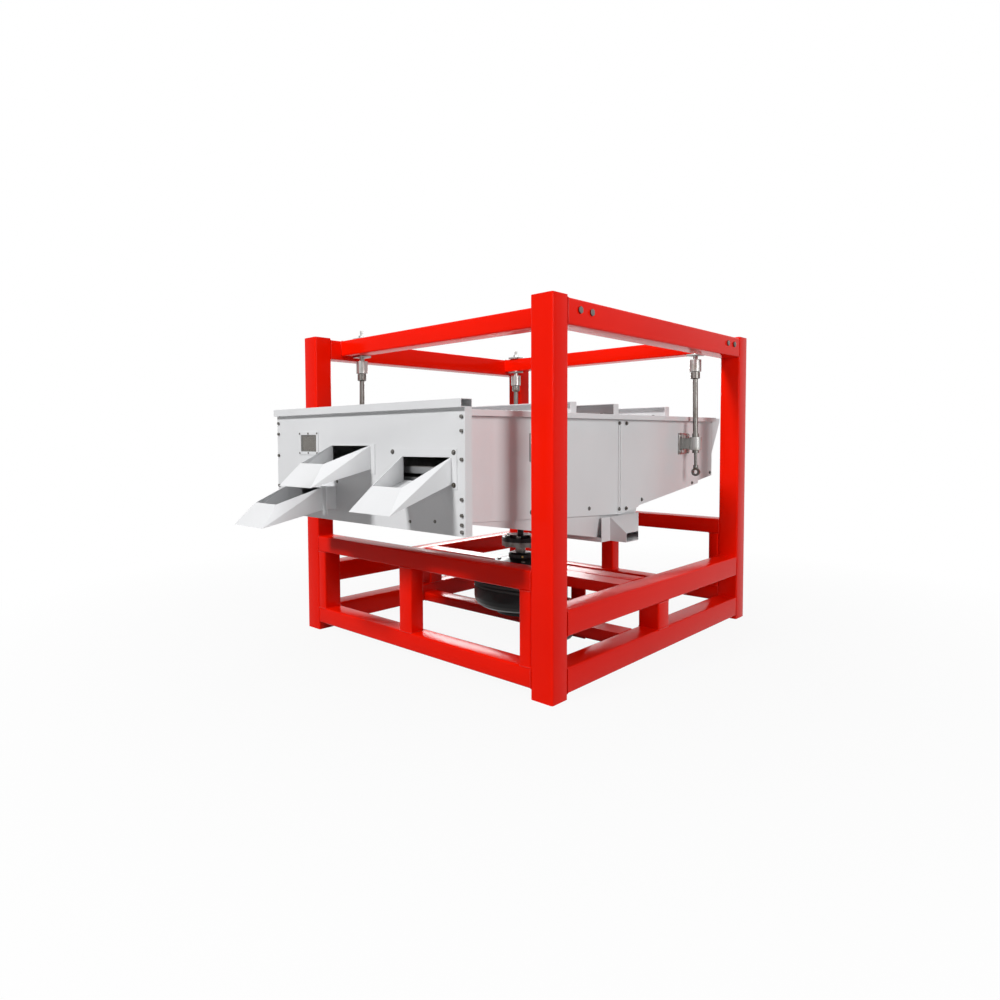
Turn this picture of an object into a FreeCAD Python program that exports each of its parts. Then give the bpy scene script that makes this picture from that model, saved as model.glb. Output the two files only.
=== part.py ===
# Seed separator: a flat sieve box hung on four rods inside a square-tube frame and
# swung in a small level circle by a vertical crank shaft under its middle.
# Millimetres. Z up, floor at 0, origin midway between the four posts. The spouts
# face -Y, the feed end +Y.
import FreeCAD, Part, Sketcher
import math
import os
import re

doc = FreeCAD.newDocument("SeedSeparator")

# Driving dimensions, each named once.
sizes = {
    # frame of square and flat tube
    "frame_depth": 1800, "side_gap": 145,
    "post_side": 100, "post_wall": 5, "foot_plate": 10, "foot_hole": 9,
    "rail_side": 100, "rail_wall": 4, "top_rail_drop": 8,
    "side_upper_level": 240, "side_lower_level": 20, "side_stud_setback": 30,
    "end_rail_height": 80, "end_upper_level": 412, "end_lower_level": 40,
    "rear_end_lift": 46, "stile_width": 55, "stud_side": 80, "stud_shift": 20,
    "cross_rail_height": 80, "cross_rail_width": 100,
    "beam_height": 50, "beam_width": 100,
    # suspension
    "hanger_reach": 70, "hanger_inset": 29, "cross_rail_setback": 66, "clamp_level": 953.75,
    "throw": 25, "crank_angle": -52, "pivot_drop": 62, "rod_length": 417,
    "rod_radius": 13, "ball_radius": 20, "socket_radius": 31, "socket_height": 64,
    "clamp_radius": 26, "clamp_height": 68, "running_gap": 0.05, "pad_side": 68,
    "clamp_plate": 8, "clamp_plate_width": 118, "clamp_plate_height": 114,
    "clamp_arm_width": 36, "clamp_arm_height": 60,
    # sieve box
    "box_width": 1070, "box_front": 1170, "box_rear": 1025, "box_top": 1095,
    "sheet": 3, "seat_gap": 0.3, "seam_width": 44,
    "front_bottom": 687, "seam_bottom": 624, "chute_bottom": 653, "step_y": 843, "step_level": 729, "rear_bottom": 766,
    "face_overhang": 67, "face_bottom": 644, "face_top": 1102, "face_return": 35,
    "lip_height": 31, "lip_depth": 20, "cover_edge": 25, "cover_drop": 20,
    "rib_height": 50, "rib_width": 45, "rib_one_y": -397, "rib_two_y": -42, "rib_three_y": 470,
    "hopper_reach": 105, "hopper_depth": 200, "feed_sill": 1040,
    "pan_rim": 690, "outlet_level": 527, "outlet_edge": 30, "outlet_length": 220,
    "chute_front": 165, "chute_rear": 175, "chute_floor": 506,
    "mouth_reach": 84, "mouth_front": 92, "mouth_rear": 20, "mouth_height": 44,
    "window_edge": 258, "window_z": 976, "window_width": 118, "window_height": 74, "window_rim": 15,
    # spouts on the front face
    "spout_width": 262, "spout_height": 97, "spout_reach": 282, "hood_width": 158,
    "nose_width": 218, "nose_rake": 82, "nose_loss": 10, "outlet_run": 40,
    "spout_flange": 25, "flange_below": 20, "flange_above": 4,
    "wide_flange_left": 68, "wide_flange_above": 29,
    "spout_one_x": -40, "spout_one_z": 872, "spout_one_fall": 63,
    "spout_two_edge": 193, "spout_two_z": 831, "spout_two_fall": 95,
    "spout_three_edge": 325, "spout_three_z": 695, "spout_three_fall": 55, "neck_length": 70,
    # decks
    "deck_height": 24, "deck_bar": 30, "deck_slope": 4, "deck_margin": 22,
    "deck_one_level": 936, "deck_two_level": 894, "deck_three_level": 772,
    # drive
    "drive_setback": 80, "shaft_radius": 26, "pin_radius": 16,
    "disc_radius": 98, "disc_height": 24, "disc_level": 424,
    "flange_height": 22, "boss_radius": 60, "boss_height": 12, "pin_top": 578,
    "coupling_bolt_circle": 150, "coupling_bolt_radius": 8,
    "wheel_radius": 246, "wheel_height": 176, "wheel_level": 106, "wheel_rim": 22,
    "wheel_corner": 52, "groove_pitch": 19, "groove_width": 15, "groove_depth": 15,
    "bearing_flange_radius": 135, "bearing_radius": 63, "bearing_height": 48,
    "foot_flange_radius": 127, "foot_boss_radius": 100, "foot_height": 32,
    "bearing_flange_height": 16,
    "tower_radius": 50, "box_beam_height": 60, "box_beam_width": 90, "box_beam_level": 705,
    "box_bearing_radius": 46, "box_bearing_flange": 74, "box_bearing_level": 524,
    # motor and belts
    "motor_x": 320, "motor_height": 90, "motor_radius": 88, "motor_length": 176,
    "motor_level": 30, "motor_shaft_radius": 12, "mount_width": 146, "belt_slot": 72, "mount_plate": 10,
    "motor_beam_width": 112, "motor_beam_inset": 92,
    "pulley_radius": 56, "belt_height": 11, "belt_seat": 1,
    # fasteners
    "bolt_radius": 9, "bolt_head": 7,
}
sheet = doc.addObject("Spreadsheet::Sheet", "Sizes")
for row, (alias, value) in enumerate(sizes.items(), 1):
    sheet.set(f"A{row}", alias)
    sheet.set(f"B{row}", str(value))
    sheet.setAlias(f"B{row}", alias)
doc.recompute()


def bound(expression):
    """The expression with every name of the sheet pointed at its cell."""
    return re.sub(r"[a-z][a-z_]*",
                  lambda word: "Sizes." + word.group() if word.group() in sizes else word.group(),
                  str(expression))


def size(alias):
    return float(sheet.get(alias))


def bind(obj, **properties):
    for name, expression in properties.items():
        obj.setExpression(name, bound(expression))


def place(obj, x=0, y=0, z=0):
    for axis, expression in zip("xyz", (x, y, z)):
        obj.setExpression("Placement.Base." + axis, bound(expression))
    return obj


def block(at, span):
    """A box from its low corner and its three lengths."""
    box = doc.addObject("Part::Box", "block")
    bind(box, Length=span[0], Width=span[1], Height=span[2])
    return place(box, *at)


def cylinder(radius, height, x=0, y=0, z=0):
    rod = doc.addObject("Part::Cylinder", "round")
    bind(rod, Radius=radius, Height=height)
    return place(rod, x, y, z)


def hexagon(radius, height, x=0, y=0, z=0, turn=None):
    """A bolt head or nut, standing on Z unless it is turned."""
    head = doc.addObject("Part::Prism", "hex")
    bind(head, Circumradius=radius, Height=height)
    if turn is not None:
        head.Placement.Rotation = turn
    return place(head, x, y, z)


def cut(base, *tools):
    tool = tools[0] if len(tools) == 1 else fuse(*tools)
    result = doc.addObject("Part::Cut", "cut")
    result.Base, result.Tool = base, tool
    return result


def fuse(*shapes):
    result = doc.addObject("Part::MultiFuse", "fuse")
    result.Shapes = list(shapes)
    return result


def group(*shapes):
    """Like pieces that stay separate solids in one node."""
    result = doc.addObject("Part::Compound", "group")
    result.Links = list(shapes)
    return result


nodes = {}


def node(label, obj):
    obj.Label = label
    nodes[label] = obj
    return obj


def origin_plane(body, role):
    return next(feature for feature in body.Origin.OriginFeatures if feature.Role == role)


def outline(body, role, points, offset=0):
    """A closed sketch of straight edges, each corner held by its two distances."""
    sketch = body.newObject("Sketcher::SketchObject", "outline")
    sketch.AttachmentSupport = [(origin_plane(body, role), "")]
    sketch.MapMode = "FlatFace"
    sketch.setExpression("AttachmentOffset.Base.z", bound(offset))
    count = len(points)
    ring = [FreeCAD.Vector(100 * math.cos(2 * math.pi * k / count), 100 * math.sin(2 * math.pi * k / count), 0)
            for k in range(count)]
    sketch.addGeometry([Part.LineSegment(ring[k], ring[(k + 1) % count]) for k in range(count)])
    sketch.addConstraint(
        [Sketcher.Constraint("Coincident", k, 2, (k + 1) % count, 1) for k in range(count)]
        + [Sketcher.Constraint(kind, -1, 1, k, 1, 50.0)
           for k in range(count) for kind in ("DistanceX", "DistanceY")])
    for k, (across, up) in enumerate(points):
        sketch.setExpression(f"Constraints[{count + 2 * k}]", bound(across))
        sketch.setExpression(f"Constraints[{count + 2 * k + 1}]", bound(up))
    return sketch


def padded(role, points, length, at=(0, 0, 0), offset=0):
    """A body: the outline pulled out along its plane's normal."""
    body = doc.addObject("PartDesign::Body", "padded")
    sketch = outline(body, role, points, offset)
    pad = body.newObject("PartDesign::Pad", "pad")
    pad.Profile = sketch
    bind(pad, Length=length)
    return place(body, *at)


def turned(points, at=(0, 0, 0)):
    """A body: the half section (radius, height) turned about Z."""
    body = doc.addObject("PartDesign::Body", "turned")
    sketch = outline(body, "XZ_Plane", points)
    spin = body.newObject("PartDesign::Revolution", "spin")
    spin.Profile = sketch
    spin.ReferenceAxis = (sketch, ["V_Axis"])
    spin.Angle = 360
    return place(body, *at)


def tube(at, span, along, wall="rail_wall"):
    """A rectangular tube, open at both ends, along one axis (0, 1 or 2)."""
    inner_at = [a if k == along else f"{a} + {wall}" for k, a in enumerate(at)]
    inner_span = [s if k == along else f"{s} - 2*{wall}" for k, s in enumerate(span)]
    return cut(block(at, span), block(inner_at, inner_span))


# Places that the frame takes from the box it carries.
inner_x, inner_y = "(box_width/2 + side_gap)", "(frame_depth/2 - post_side)"
half_x, half_y = f"({inner_x} + post_side)", "(frame_depth/2)"
cross_y = f"({inner_y} - cross_rail_setback - cross_rail_width/2)"
hang_x, hang_y = "(box_width/2 + hanger_reach)", f"({cross_y} - hanger_inset)"
pivot_z = "(clamp_level + sqrt(rod_length*rod_length - throw*throw))"
cross_z = f"({pivot_z} + pivot_drop)"
cross_top = f"({cross_z} + cross_rail_height)"
frame_height = f"({cross_top} + top_rail_drop)"


# Frame. Corner posts: closed tubes, the foot plate drilled for an anchor.


def post(label, right, rear):
    x = inner_x if right else f"-{half_x}"
    y = inner_y if rear else f"-{half_y}"
    shell = block((x, y, 0), ("post_side", "post_side", frame_height))
    bore = block((f"{x} + post_wall", f"{y} + post_wall", "foot_plate"),
                 ("post_side - 2*post_wall", "post_side - 2*post_wall",
                  f"{frame_height} - foot_plate - post_wall"))
    anchor = cylinder("foot_hole", "foot_plate", f"{x} + post_side/2", f"{y} + post_side/2", 0)
    node(label, cut(shell, bore, anchor))


post("post_front_right", True, False)
post("post_front_left", False, False)
post("post_rear_right", True, True)
post("post_rear_left", False, True)

# Side rails between the posts, outer faces flush with them.
rail_run = f"(2*{inner_y})"
top_level = f"({cross_top} - rail_side)"
for side, x in (("right", f"{half_x} - rail_side"), ("left", f"-{half_x}")):
    for name, level in (("top", top_level), ("upper", "side_upper_level"), ("lower", "side_lower_level")):
        node(f"{side}_{name}_rail", tube((x, f"-{inner_y}", level), ("rail_side", rail_run, "rail_side"), 1))
stud_z = "side_lower_level + rail_side"
stud_run = "side_upper_level - side_lower_level - rail_side"
node("side_studs", group(*[
    tube((x, "-rail_side/2 - side_stud_setback", stud_z), ("rail_side", "rail_side", stud_run), 2)
    for x in (f"{half_x} - rail_side", f"-{half_x}")]))

# End frames: upper and lower rail, two stiles against the posts and a middle stud.
end_run = f"(2*{inner_x})"
for end, y, lift in (("front", f"-{half_y}", "0"), ("rear", inner_y, "rear_end_lift")):
    for name, level in (("upper", "end_upper_level"), ("lower", "end_lower_level")):
        node(f"{end}_{name}_rail", tube((f"-{inner_x}", y, f"{level} + {lift}"),
                                        (end_run, "post_side", "end_rail_height"), 0))
stile_z = "end_lower_level + end_rail_height"
stile_run = "end_upper_level - end_lower_level - end_rail_height"
stiles = [tube((x, y, f"{stile_z} + {lift}"), ("stile_width", "post_side", stile_run), 2)
          for x in (f"-{inner_x}", f"{inner_x} - stile_width")
          for y, lift in ((f"-{half_y}", "0"), (inner_y, "rear_end_lift"))]
studs = [tube(("-stud_side/2 - stud_shift", y, f"{stile_z} + {lift}"), ("stud_side", "stud_side", stile_run), 2)
         for y, lift in ((f"-{half_y}", "0"), (f"{half_y} - stud_side", "rear_end_lift"))]
node("end_uprights", group(*stiles, *studs))

# Cross rails between the side rails carry the hangers, each drilled for two of them.
cross_x = f"({half_x} - rail_side)"
for end, sign in (("front", "-"), ("rear", "")):
    rail = tube((f"-{cross_x}", f"{sign}{cross_y} - cross_rail_width/2", cross_z),
                (f"2*{cross_x}", "cross_rail_width", "cross_rail_height"), 0)
    holes = [cylinder("bolt_radius", "cross_rail_height", x, f"{sign}{hang_y}", cross_z)
             for x in (f"-{hang_x}", hang_x)]
    node(f"{end}_cross_rail", cut(rail, *holes))

# Pairs of bolts through the side rails hold the ends of the cross rails.
outward = {"right": FreeCAD.Rotation(FreeCAD.Vector(0, 1, 0), 90),
           "left": FreeCAD.Rotation(FreeCAD.Vector(0, 1, 0), -90)}
node("cross_rail_bolts", group(*[
    hexagon("bolt_radius*1.6", "bolt_head", half_x if side == "right" else f"-{half_x}",
            f"{sign}{cross_y} + {step}*cross_rail_width*0.4", f"{cross_z} + cross_rail_height/2", outward[side])
    for side in outward for sign in ("-", "") for step in ("-1", "1")]))

# Drive beams across the frame at mid length; the upper one is bored for the shaft.
drive_y = "(-drive_setback)"
upper_beam_z = "(side_upper_level + rail_side - beam_height)"
beam_y = f"({drive_y} - beam_width/2)"
upper_beam = tube((f"-{cross_x}", beam_y, upper_beam_z), (f"2*{cross_x}", "beam_width", "beam_height"), 0)
node("upper_drive_beam", cut(upper_beam, cylinder("shaft_radius + 8", "beam_height", 0, drive_y, upper_beam_z)))
node("lower_drive_beam", tube((f"-{cross_x}", beam_y, "side_lower_level"),
                              (f"2*{cross_x}", "beam_width", "beam_height"), 0))

# Hanger sockets: stud and nut through the cross rail, and a cup open downwards.
cup_bottom = f"({pivot_z} - socket_height/2)"


def socket(x, y):
    stud = cylinder("bolt_radius - seat_gap", f"{frame_height} + 44 - {cup_bottom} - socket_height", x, y,
                    f"{cup_bottom} + socket_height")
    nut = hexagon("bolt_radius*1.9", 14, x, y, f"{cross_top} + 12")
    pad = block((f"{x} - pad_side/2", f"{y} - pad_side/2", cross_top), ("pad_side", "pad_side", 12))
    washer = block((f"{x} - pad_side/2", f"{y} - pad_side/2", f"{cross_z} - 10"), ("pad_side", "pad_side", 10))
    shank = cylinder("rod_radius", f"{cross_z} - {cup_bottom} - socket_height", x, y, f"{cup_bottom} + socket_height")
    cup = cylinder("socket_radius", "socket_height", x, y, cup_bottom)
    bore = cylinder("ball_radius + running_gap", "socket_height/2 + ball_radius + 2", x, y, cup_bottom)
    return cut(fuse(stud, nut, pad, washer, shank, cup), bore)


corners = {"front_right": (hang_x, f"-{hang_y}"), "front_left": (f"-{hang_x}", f"-{hang_y}"),
           "rear_right": (hang_x, hang_y), "rear_left": (f"-{hang_x}", hang_y)}
node("hanger_sockets", group(*[socket(*corner) for corner in corners.values()]))

# The box rests at one point of its circle: the crank's throw at the crank's angle.
off_x, off_y = "(throw*cos(crank_angle))", "(throw*sin(crank_angle))"


def on_box(x, y, z=0):
    return f"{off_x} + {x}", f"{off_y} + {y}", z


# Suspension rods, leaning by the throw from the upper ball down to the lower one.
def rod(label, corner):
    ball, length, radius = "ball_radius", "rod_length", "rod_radius"
    stem = turned([(0, "18"), (f"{ball} - 8", "16"), (f"{ball} - 2", "9"), (ball, "0"), (f"{ball} - 2", "-9"),
                   (radius, "-17"), (radius, "-socket_height/2 - 2"), ("24", "-socket_height/2 - 4"),
                   ("24", "-socket_height/2 - 36"), (radius, "-socket_height/2 - 40"),
                   (radius, f"-{length} + clamp_height/2 + 20"), ("17", f"-{length} + clamp_height/2 + 20"),
                   ("17", f"-{length} + clamp_height/2 - 4"), (f"{ball} - 6", f"-{length} + 16"),
                   (f"{ball} - 2", f"-{length} + 9"), (ball, f"-{length}"), (f"{ball} - 2", f"-{length} - 9"),
                   (f"{ball} - 6", f"-{length} - 16"), ("17", f"-{length} - clamp_height/2 + 4"),
                   ("17", f"-{length} - clamp_height/2 - 16"), ("8", f"-{length} - clamp_height/2 - 18"),
                   ("8", f"-{length} - clamp_height/2 - 80"), ("13", f"-{length} - clamp_height/2 - 82"),
                   ("13", f"-{length} - clamp_height/2 - 98"), (0, f"-{length} - clamp_height/2 - 102")])
    eye = cut(cylinder(22, 12), cylinder(11, 12))
    eye.Placement.Rotation = FreeCAD.Rotation(FreeCAD.Vector(1, 0, 0), 90)
    place(eye, 0, 6, f"-{length} - clamp_height/2 - 118")
    whole = fuse(stem, eye)
    angle = math.radians(size("crank_angle"))
    whole.Placement.Rotation = FreeCAD.Rotation(FreeCAD.Vector(math.sin(angle), -math.cos(angle), 0), 1)
    whole.setExpression("Placement.Rotation.Angle", bound("asin(throw/rod_length)"))
    node(label, place(whole, *corner, pivot_z))


for name, corner in corners.items():
    rod(f"hanger_rod_{name}", corner)

# Sieve box. Side panels in two lengths each, with a lower edge that falls to the chute.
box_x = "(box_width/2)"
front_y, rear_y = "(-box_front)", "box_rear"
seam_z = {"front": [(front_y, "front_bottom"), ("-seat_gap", "seam_bottom"), ("-seat_gap", "box_top"),
                    (front_y, "box_top")],
          "rear": [("0", "seam_bottom"), ("chute_rear", "chute_bottom - 6"), ("chute_rear + 2", "chute_bottom"),
                   ("step_y", "step_level"), ("step_y + 8", "step_level + 16"), (rear_y, "rear_bottom"), (rear_y, "box_top"), ("0", "box_top")]}
for side, x in (("right", f"{box_x} - sheet"), ("left", f"-{box_x}")):
    node(f"side_panels_{side}", group(*[
        padded("YZ_Plane", seam_z[part], "sheet", on_box(x, 0)) for part in ("front", "rear")]))
node("seam_strips", group(*[
    block(on_box(x, "-seam_width/2", "seam_bottom + 8"), ("sheet", "seam_width", "box_top - seam_bottom - 30"))
    for x in (box_x, f"-{box_x} - sheet")]))

# Front face: a wide folded panel with a lip along its top, open to the spouts.
face_x = "(box_width/2 + face_overhang)"
spout_two_x, spout_three_x = f"({face_x} - spout_two_edge)", f"(spout_three_edge - {face_x})"
window_x = f"(window_edge - {face_x})"


def window_in_face(x, z, width, height):
    return block(on_box(f"{x} - {width}/2", f"{front_y} - sheet - 2", z), (width, "sheet + 4", height))


face = fuse(
    block(on_box(f"-{face_x}", f"{front_y} - sheet", "face_bottom"), (f"2*{face_x}", "sheet", "face_top - face_bottom")),
    block(on_box(f"-{face_x}", f"{front_y} - lip_depth - sheet", "face_top"), (f"2*{face_x}", "lip_depth + sheet + face_return", "lip_height")),
    block(on_box(f"-{face_x}", front_y, "face_bottom"), ("sheet", "face_return", "face_top - face_bottom")),
    block(on_box(f"{face_x} - sheet", front_y, "face_bottom"), ("sheet", "face_return", "face_top - face_bottom")),
    block(on_box(f"-{face_x}", front_y, "face_bottom"), (f"2*{face_x}", "face_return", "sheet")))
node("front_face", cut(
    face,
    block(on_box(f"-{face_x} + sheet", f"{front_y} - lip_depth", "face_top + sheet"),
          (f"2*{face_x}", "lip_depth + face_return + 10", "lip_height - 2*sheet")),
    window_in_face("spout_one_x", "spout_one_z + sheet", "(spout_width - 2*sheet)", "(spout_height - 2*sheet)"),
    window_in_face(spout_two_x, "spout_two_z + sheet", "(spout_width - 2*sheet)", "(spout_height - 2*sheet)"),
    window_in_face(spout_three_x, "spout_three_z + sheet", "(spout_width - 2*sheet)", "(spout_height - 2*sheet)"),
    window_in_face(window_x, "window_z - window_height/2", "window_width", "window_height")))
node("window_frame", cut(
    block(on_box(f"{window_x} - window_width/2 - window_rim", f"{front_y} - 2*sheet", "window_z - window_height/2 - window_rim"),
          ("window_width + 2*window_rim", "sheet", "window_height + 2*window_rim")),
    block(on_box(f"{window_x} - window_width/2", f"{front_y} - 2*sheet - 2", "window_z - window_height/2"),
          ("window_width", "sheet + 4", "window_height"))))
node("window_glass", block(on_box(f"{window_x} - window_width/2 + seat_gap", f"{front_y} - sheet - 1",
                                  "window_z - window_height/2 + seat_gap"),
                           ("window_width - 2*seat_gap", "sheet + 1", "window_height - 2*seat_gap")))

# Rear wall, feed hopper leaning out over it, and the cover with turned-down edges.
node("rear_wall", block(on_box(f"-{box_x} + sheet", "box_rear - sheet", "rear_bottom"),
                        ("box_width - 2*sheet", "sheet", "feed_sill - rear_bottom")))
hopper_top = "box_top"
lean = [("box_rear", f"{hopper_top} - hopper_depth"), ("box_rear + hopper_reach", f"{hopper_top} - 20"),
        ("box_rear + hopper_reach", hopper_top), ("box_rear", hopper_top)]
hollow = [("box_rear - 1", f"{hopper_top} - hopper_depth + 2*sheet"), ("box_rear + hopper_reach - sheet", f"{hopper_top} - 20 + sheet"),
          ("box_rear + hopper_reach - sheet", f"{hopper_top} + 5"), ("box_rear - 1", f"{hopper_top} + 5")]
node("feed_hopper", cut(
    padded("YZ_Plane", lean, "box_width", on_box(f"-{box_x}", 0)),
    padded("YZ_Plane", hollow, "box_width - 2*sheet", on_box(f"-{box_x} + sheet", 0))))
node("top_cover", fuse(
    block(on_box(f"-{box_x} - cover_edge", front_y, "box_top"), ("box_width + 2*cover_edge", "box_front + box_rear", "sheet")),
    *[block(on_box(x, front_y, "box_top - cover_drop"), ("sheet", "box_front + box_rear", "cover_drop"))
      for x in (f"{box_x} + cover_edge - sheet", f"-{box_x} - cover_edge")]))
node("cover_ribs", group(*[
    cut(block(on_box(f"-{box_x}", f"{rib_y} - rib_width/2", "box_top + sheet"),
              ("box_width", "rib_width", "rib_height")),
        block(on_box(f"-{box_x} + sheet", f"{rib_y} - rib_width/2 - sheet", "box_top + 2*sheet"),
              ("box_width - 2*sheet", "rib_width", "rib_height - 2*sheet")))
    for rib_y in ("rib_one_y", "rib_two_y", "rib_three_y")]))

# Bottom pan: a funnel falling to an outlet on the right, and a slope from the feed end.
pan_x = f"({box_x} - sheet - seat_gap)"


def common(first, second):
    result = doc.addObject("Part::Common", "common")
    result.Base, result.Tool = first, second
    return result


outlet_outer = f"({box_x} - outlet_edge)"
outlet_inner = f"({outlet_outer} - outlet_length)"
pan_low = f"({front_y} + seat_gap)"
pan_body = common(
    padded("XZ_Plane", [(f"-{pan_x}", "pan_rim"), (outlet_inner, "outlet_level"), (outlet_outer, "outlet_level"),
                        (pan_x, "pan_rim")], "box_front + box_rear", on_box(0, "box_rear")),
    padded("YZ_Plane", [(pan_low, "pan_rim"), ("-chute_front", "outlet_level"), ("chute_rear", "outlet_level"),
                        ("chute_rear", "pan_rim")], "box_width", on_box(f"-{box_x}", 0)))
pan_room = common(
    padded("XZ_Plane", [(f"-{pan_x}", "pan_rim + sheet"), (f"{outlet_inner} + sheet", "outlet_level + sheet"),
                        (f"{outlet_inner} + sheet", "outlet_level - sheet"), (f"{outlet_outer} - sheet", "outlet_level - sheet"),
                        (f"{outlet_outer} - sheet", "outlet_level"), (f"{pan_x} - sheet", "pan_rim"),
                        (f"{pan_x} - sheet", "pan_rim + sheet")], "box_front + box_rear", on_box(0, "box_rear")),
    padded("YZ_Plane", [(pan_low, "pan_rim + sheet"), ("sheet - chute_front", "outlet_level + sheet"),
                        ("sheet - chute_front", "outlet_level - sheet"), ("chute_rear - sheet", "outlet_level - sheet"),
                        ("chute_rear - sheet", "pan_rim + sheet")], "box_width", on_box(f"-{box_x}", 0)))
slope = padded("YZ_Plane", [("chute_rear - sheet", "pan_rim - 2*sheet"), ("box_rear - 2*sheet", "rear_bottom + 34 - sheet"),
                            ("box_rear - 2*sheet", "rear_bottom + 34"), ("chute_rear - sheet", "pan_rim")],
               f"2*{pan_x}", on_box(f"-{pan_x}", 0))
tower_hole = cylinder("tower_radius + 2", "pan_rim - outlet_level", *on_box(0, drive_y, "outlet_level"))
node("bottom_pan", fuse(cut(pan_body, pan_room, tower_hole), slope))

# Fines chute under the outlet, leading out past the right side panel.
chute_roof = "(seam_bottom - 5)"
mouth_x = f"({box_x} + mouth_reach)"
chute_body = common(
    padded("XZ_Plane", [(outlet_inner, "chute_floor"), (mouth_x, "chute_floor"), (mouth_x, "chute_floor + mouth_height"),
                        (box_x, chute_roof), (f"{box_x} - sheet", chute_roof), (f"{box_x} - sheet", "outlet_level"),
                        (outlet_inner, "outlet_level")],
           "chute_front + chute_rear", on_box(0, "chute_rear")),
    padded("XY_Plane", [(outlet_inner, "-chute_front"), (box_x, "-chute_front"), (box_x, "-mouth_front"),
                        (mouth_x, "-mouth_front"), (mouth_x, "mouth_rear"),
                        (box_x, "chute_rear"), (outlet_inner, "chute_rear")],
           f"{chute_roof} - chute_floor", on_box(0, 0, "chute_floor")))
chute_room = common(
    padded("XZ_Plane", [(f"{outlet_inner} + sheet", "chute_floor + sheet"), (f"{mouth_x} + 1", "chute_floor + sheet"),
                        (f"{mouth_x} + 1", "chute_floor + mouth_height - sheet"), (box_x, f"{chute_roof} - sheet"),
                        (f"{box_x} - sheet - 1", f"{chute_roof} - sheet"), (f"{box_x} - sheet - 1", "outlet_level + 1"),
                        (f"{outlet_inner} + sheet", "outlet_level + 1")],
           "chute_front + chute_rear", on_box(0, "chute_rear")),
    padded("XY_Plane", [(f"{outlet_inner} + sheet", "sheet - chute_front"), (f"{box_x} - sheet", "sheet - chute_front"),
                        (f"{box_x} - sheet", "sheet - mouth_front"), (f"{mouth_x} + 1", "sheet - mouth_front"),
                        (f"{mouth_x} + 1", "mouth_rear - sheet"), (box_x, "chute_rear - sheet"),
                        (f"{outlet_inner} + sheet", "chute_rear - sheet")],
           f"{chute_roof} - chute_floor", on_box(0, 0, "chute_floor")))
node("fines_spout", cut(chute_body, chute_room))


# Spouts, three alike: open trays that fall from the face to a raked nose, with the
# outlet behind it.
def cheek(side, reach, fall, inset):
    """What lies outside the fold that narrows one wall of a tray towards the nose's top."""
    half = size("spout_width") / 2 - inset
    top = FreeCAD.Vector(side * half, 0, size("spout_height"))
    brow = FreeCAD.Vector(side * (size("hood_width") / 2 - inset), size("nose_rake") - size(reach),
                          size("spout_height") - size(fall) - size("nose_loss"))
    toe = FreeCAD.Vector(side * (size("nose_width") / 2 - inset), -size(reach), -size(fall))
    along = (toe - top).normalize()
    outward = (brow - top).cross(toe - top).normalize() * side
    if outward.x * side < 0:
        outward = outward * -1
    block_side = doc.addObject("Part::Box", "cheek")
    block_side.Length, block_side.Width, block_side.Height = [size(reach) * 2] * 3
    turn = FreeCAD.Rotation(along, outward.cross(along), outward, "ZXY")
    corner = top - along * size(reach) * 0.5 - outward.cross(along) * size(reach)
    block_side.Placement = FreeCAD.Placement(corner, turn)
    return block_side


def tray(reach, fall, inset, over):
    low, back = f"{inset} - {fall}", f"1.3*{inset}"
    brow = f"spout_height - {fall} - nose_loss"
    profile = [(f"{over}", inset), (f"{over}", f"spout_height + {over}"),
               (f"nose_rake - {reach} + {back}", f"{brow} + {over}"), (f"{back} - {reach}", low)]
    if over != "0":
        profile.insert(2, (f"nose_rake - {reach} + {back}", f"spout_height + {over}"))
    plan = [(f"{inset} - spout_width/2", over), (f"{inset} - nose_width/2", f"{back} - {reach}"),
            (f"nose_width/2 - {inset}", f"{back} - {reach}"), (f"spout_width/2 - {inset}", over)]
    solid = common(padded("YZ_Plane", profile, "2*spout_width", ("-spout_width", 0, 0)),
                   padded("XY_Plane", plan, f"2*spout_height + {fall}", (0, 0, f"-{fall}")))
    return cut(solid, *[cheek(side, reach, fall, size("sheet") if inset != "0" else 0) for side in (-1, 1)])


def spout(label, x, z, y, fall, left="spout_flange", above="flange_above"):
    reach = "spout_reach"
    slot = block(("14 - nose_width/2", f"20 - {reach}", f"-{fall} - 1"), ("nose_width - 28", "outlet_run", 20))
    shell = cut(tray(reach, fall, "0", "0"), tray(reach, fall, "sheet", "1"), slot)
    flange = cut(block((f"-spout_width/2 - {left}", "-sheet", "-flange_below"),
                       (f"spout_width + spout_flange + {left}", "sheet", f"spout_height + flange_below + {above}")),
                 block(("sheet - spout_width/2", "-sheet - 1", "sheet"),
                       ("spout_width - 2*sheet", "sheet + 2", "spout_height - 2*sheet")))
    node(label, place(fuse(shell, flange), *on_box(x, y, z)))


face_y = f"({front_y} - sheet)"
spout("spout_one", "spout_one_x", "spout_one_z", face_y, "spout_one_fall")
spout("spout_two", spout_two_x, "spout_two_z", face_y, "spout_two_fall", "wide_flange_left", "wide_flange_above")
spout("spout_three", spout_three_x, "spout_three_z", f"{face_y} - neck_length", "spout_three_fall")
node("spout_neck", cut(
    fuse(block(on_box(f"{spout_three_x} - spout_width/2", f"{face_y} - neck_length", "spout_three_z"),
               ("spout_width", "neck_length", "spout_height")),
         block(on_box(f"{spout_three_x} - spout_width/2 - spout_flange", f"{face_y} - neck_length", "spout_three_z - flange_below"),
               ("spout_width + 2*spout_flange", "2*sheet", "spout_height + flange_below + flange_above"))),
    block(on_box(f"{spout_three_x} - spout_width/2 + sheet", f"{face_y} - neck_length - 1", "spout_three_z + sheet"),
          ("spout_width - 2*sheet", "neck_length + 2", "spout_height - 2*sheet"))))

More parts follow.
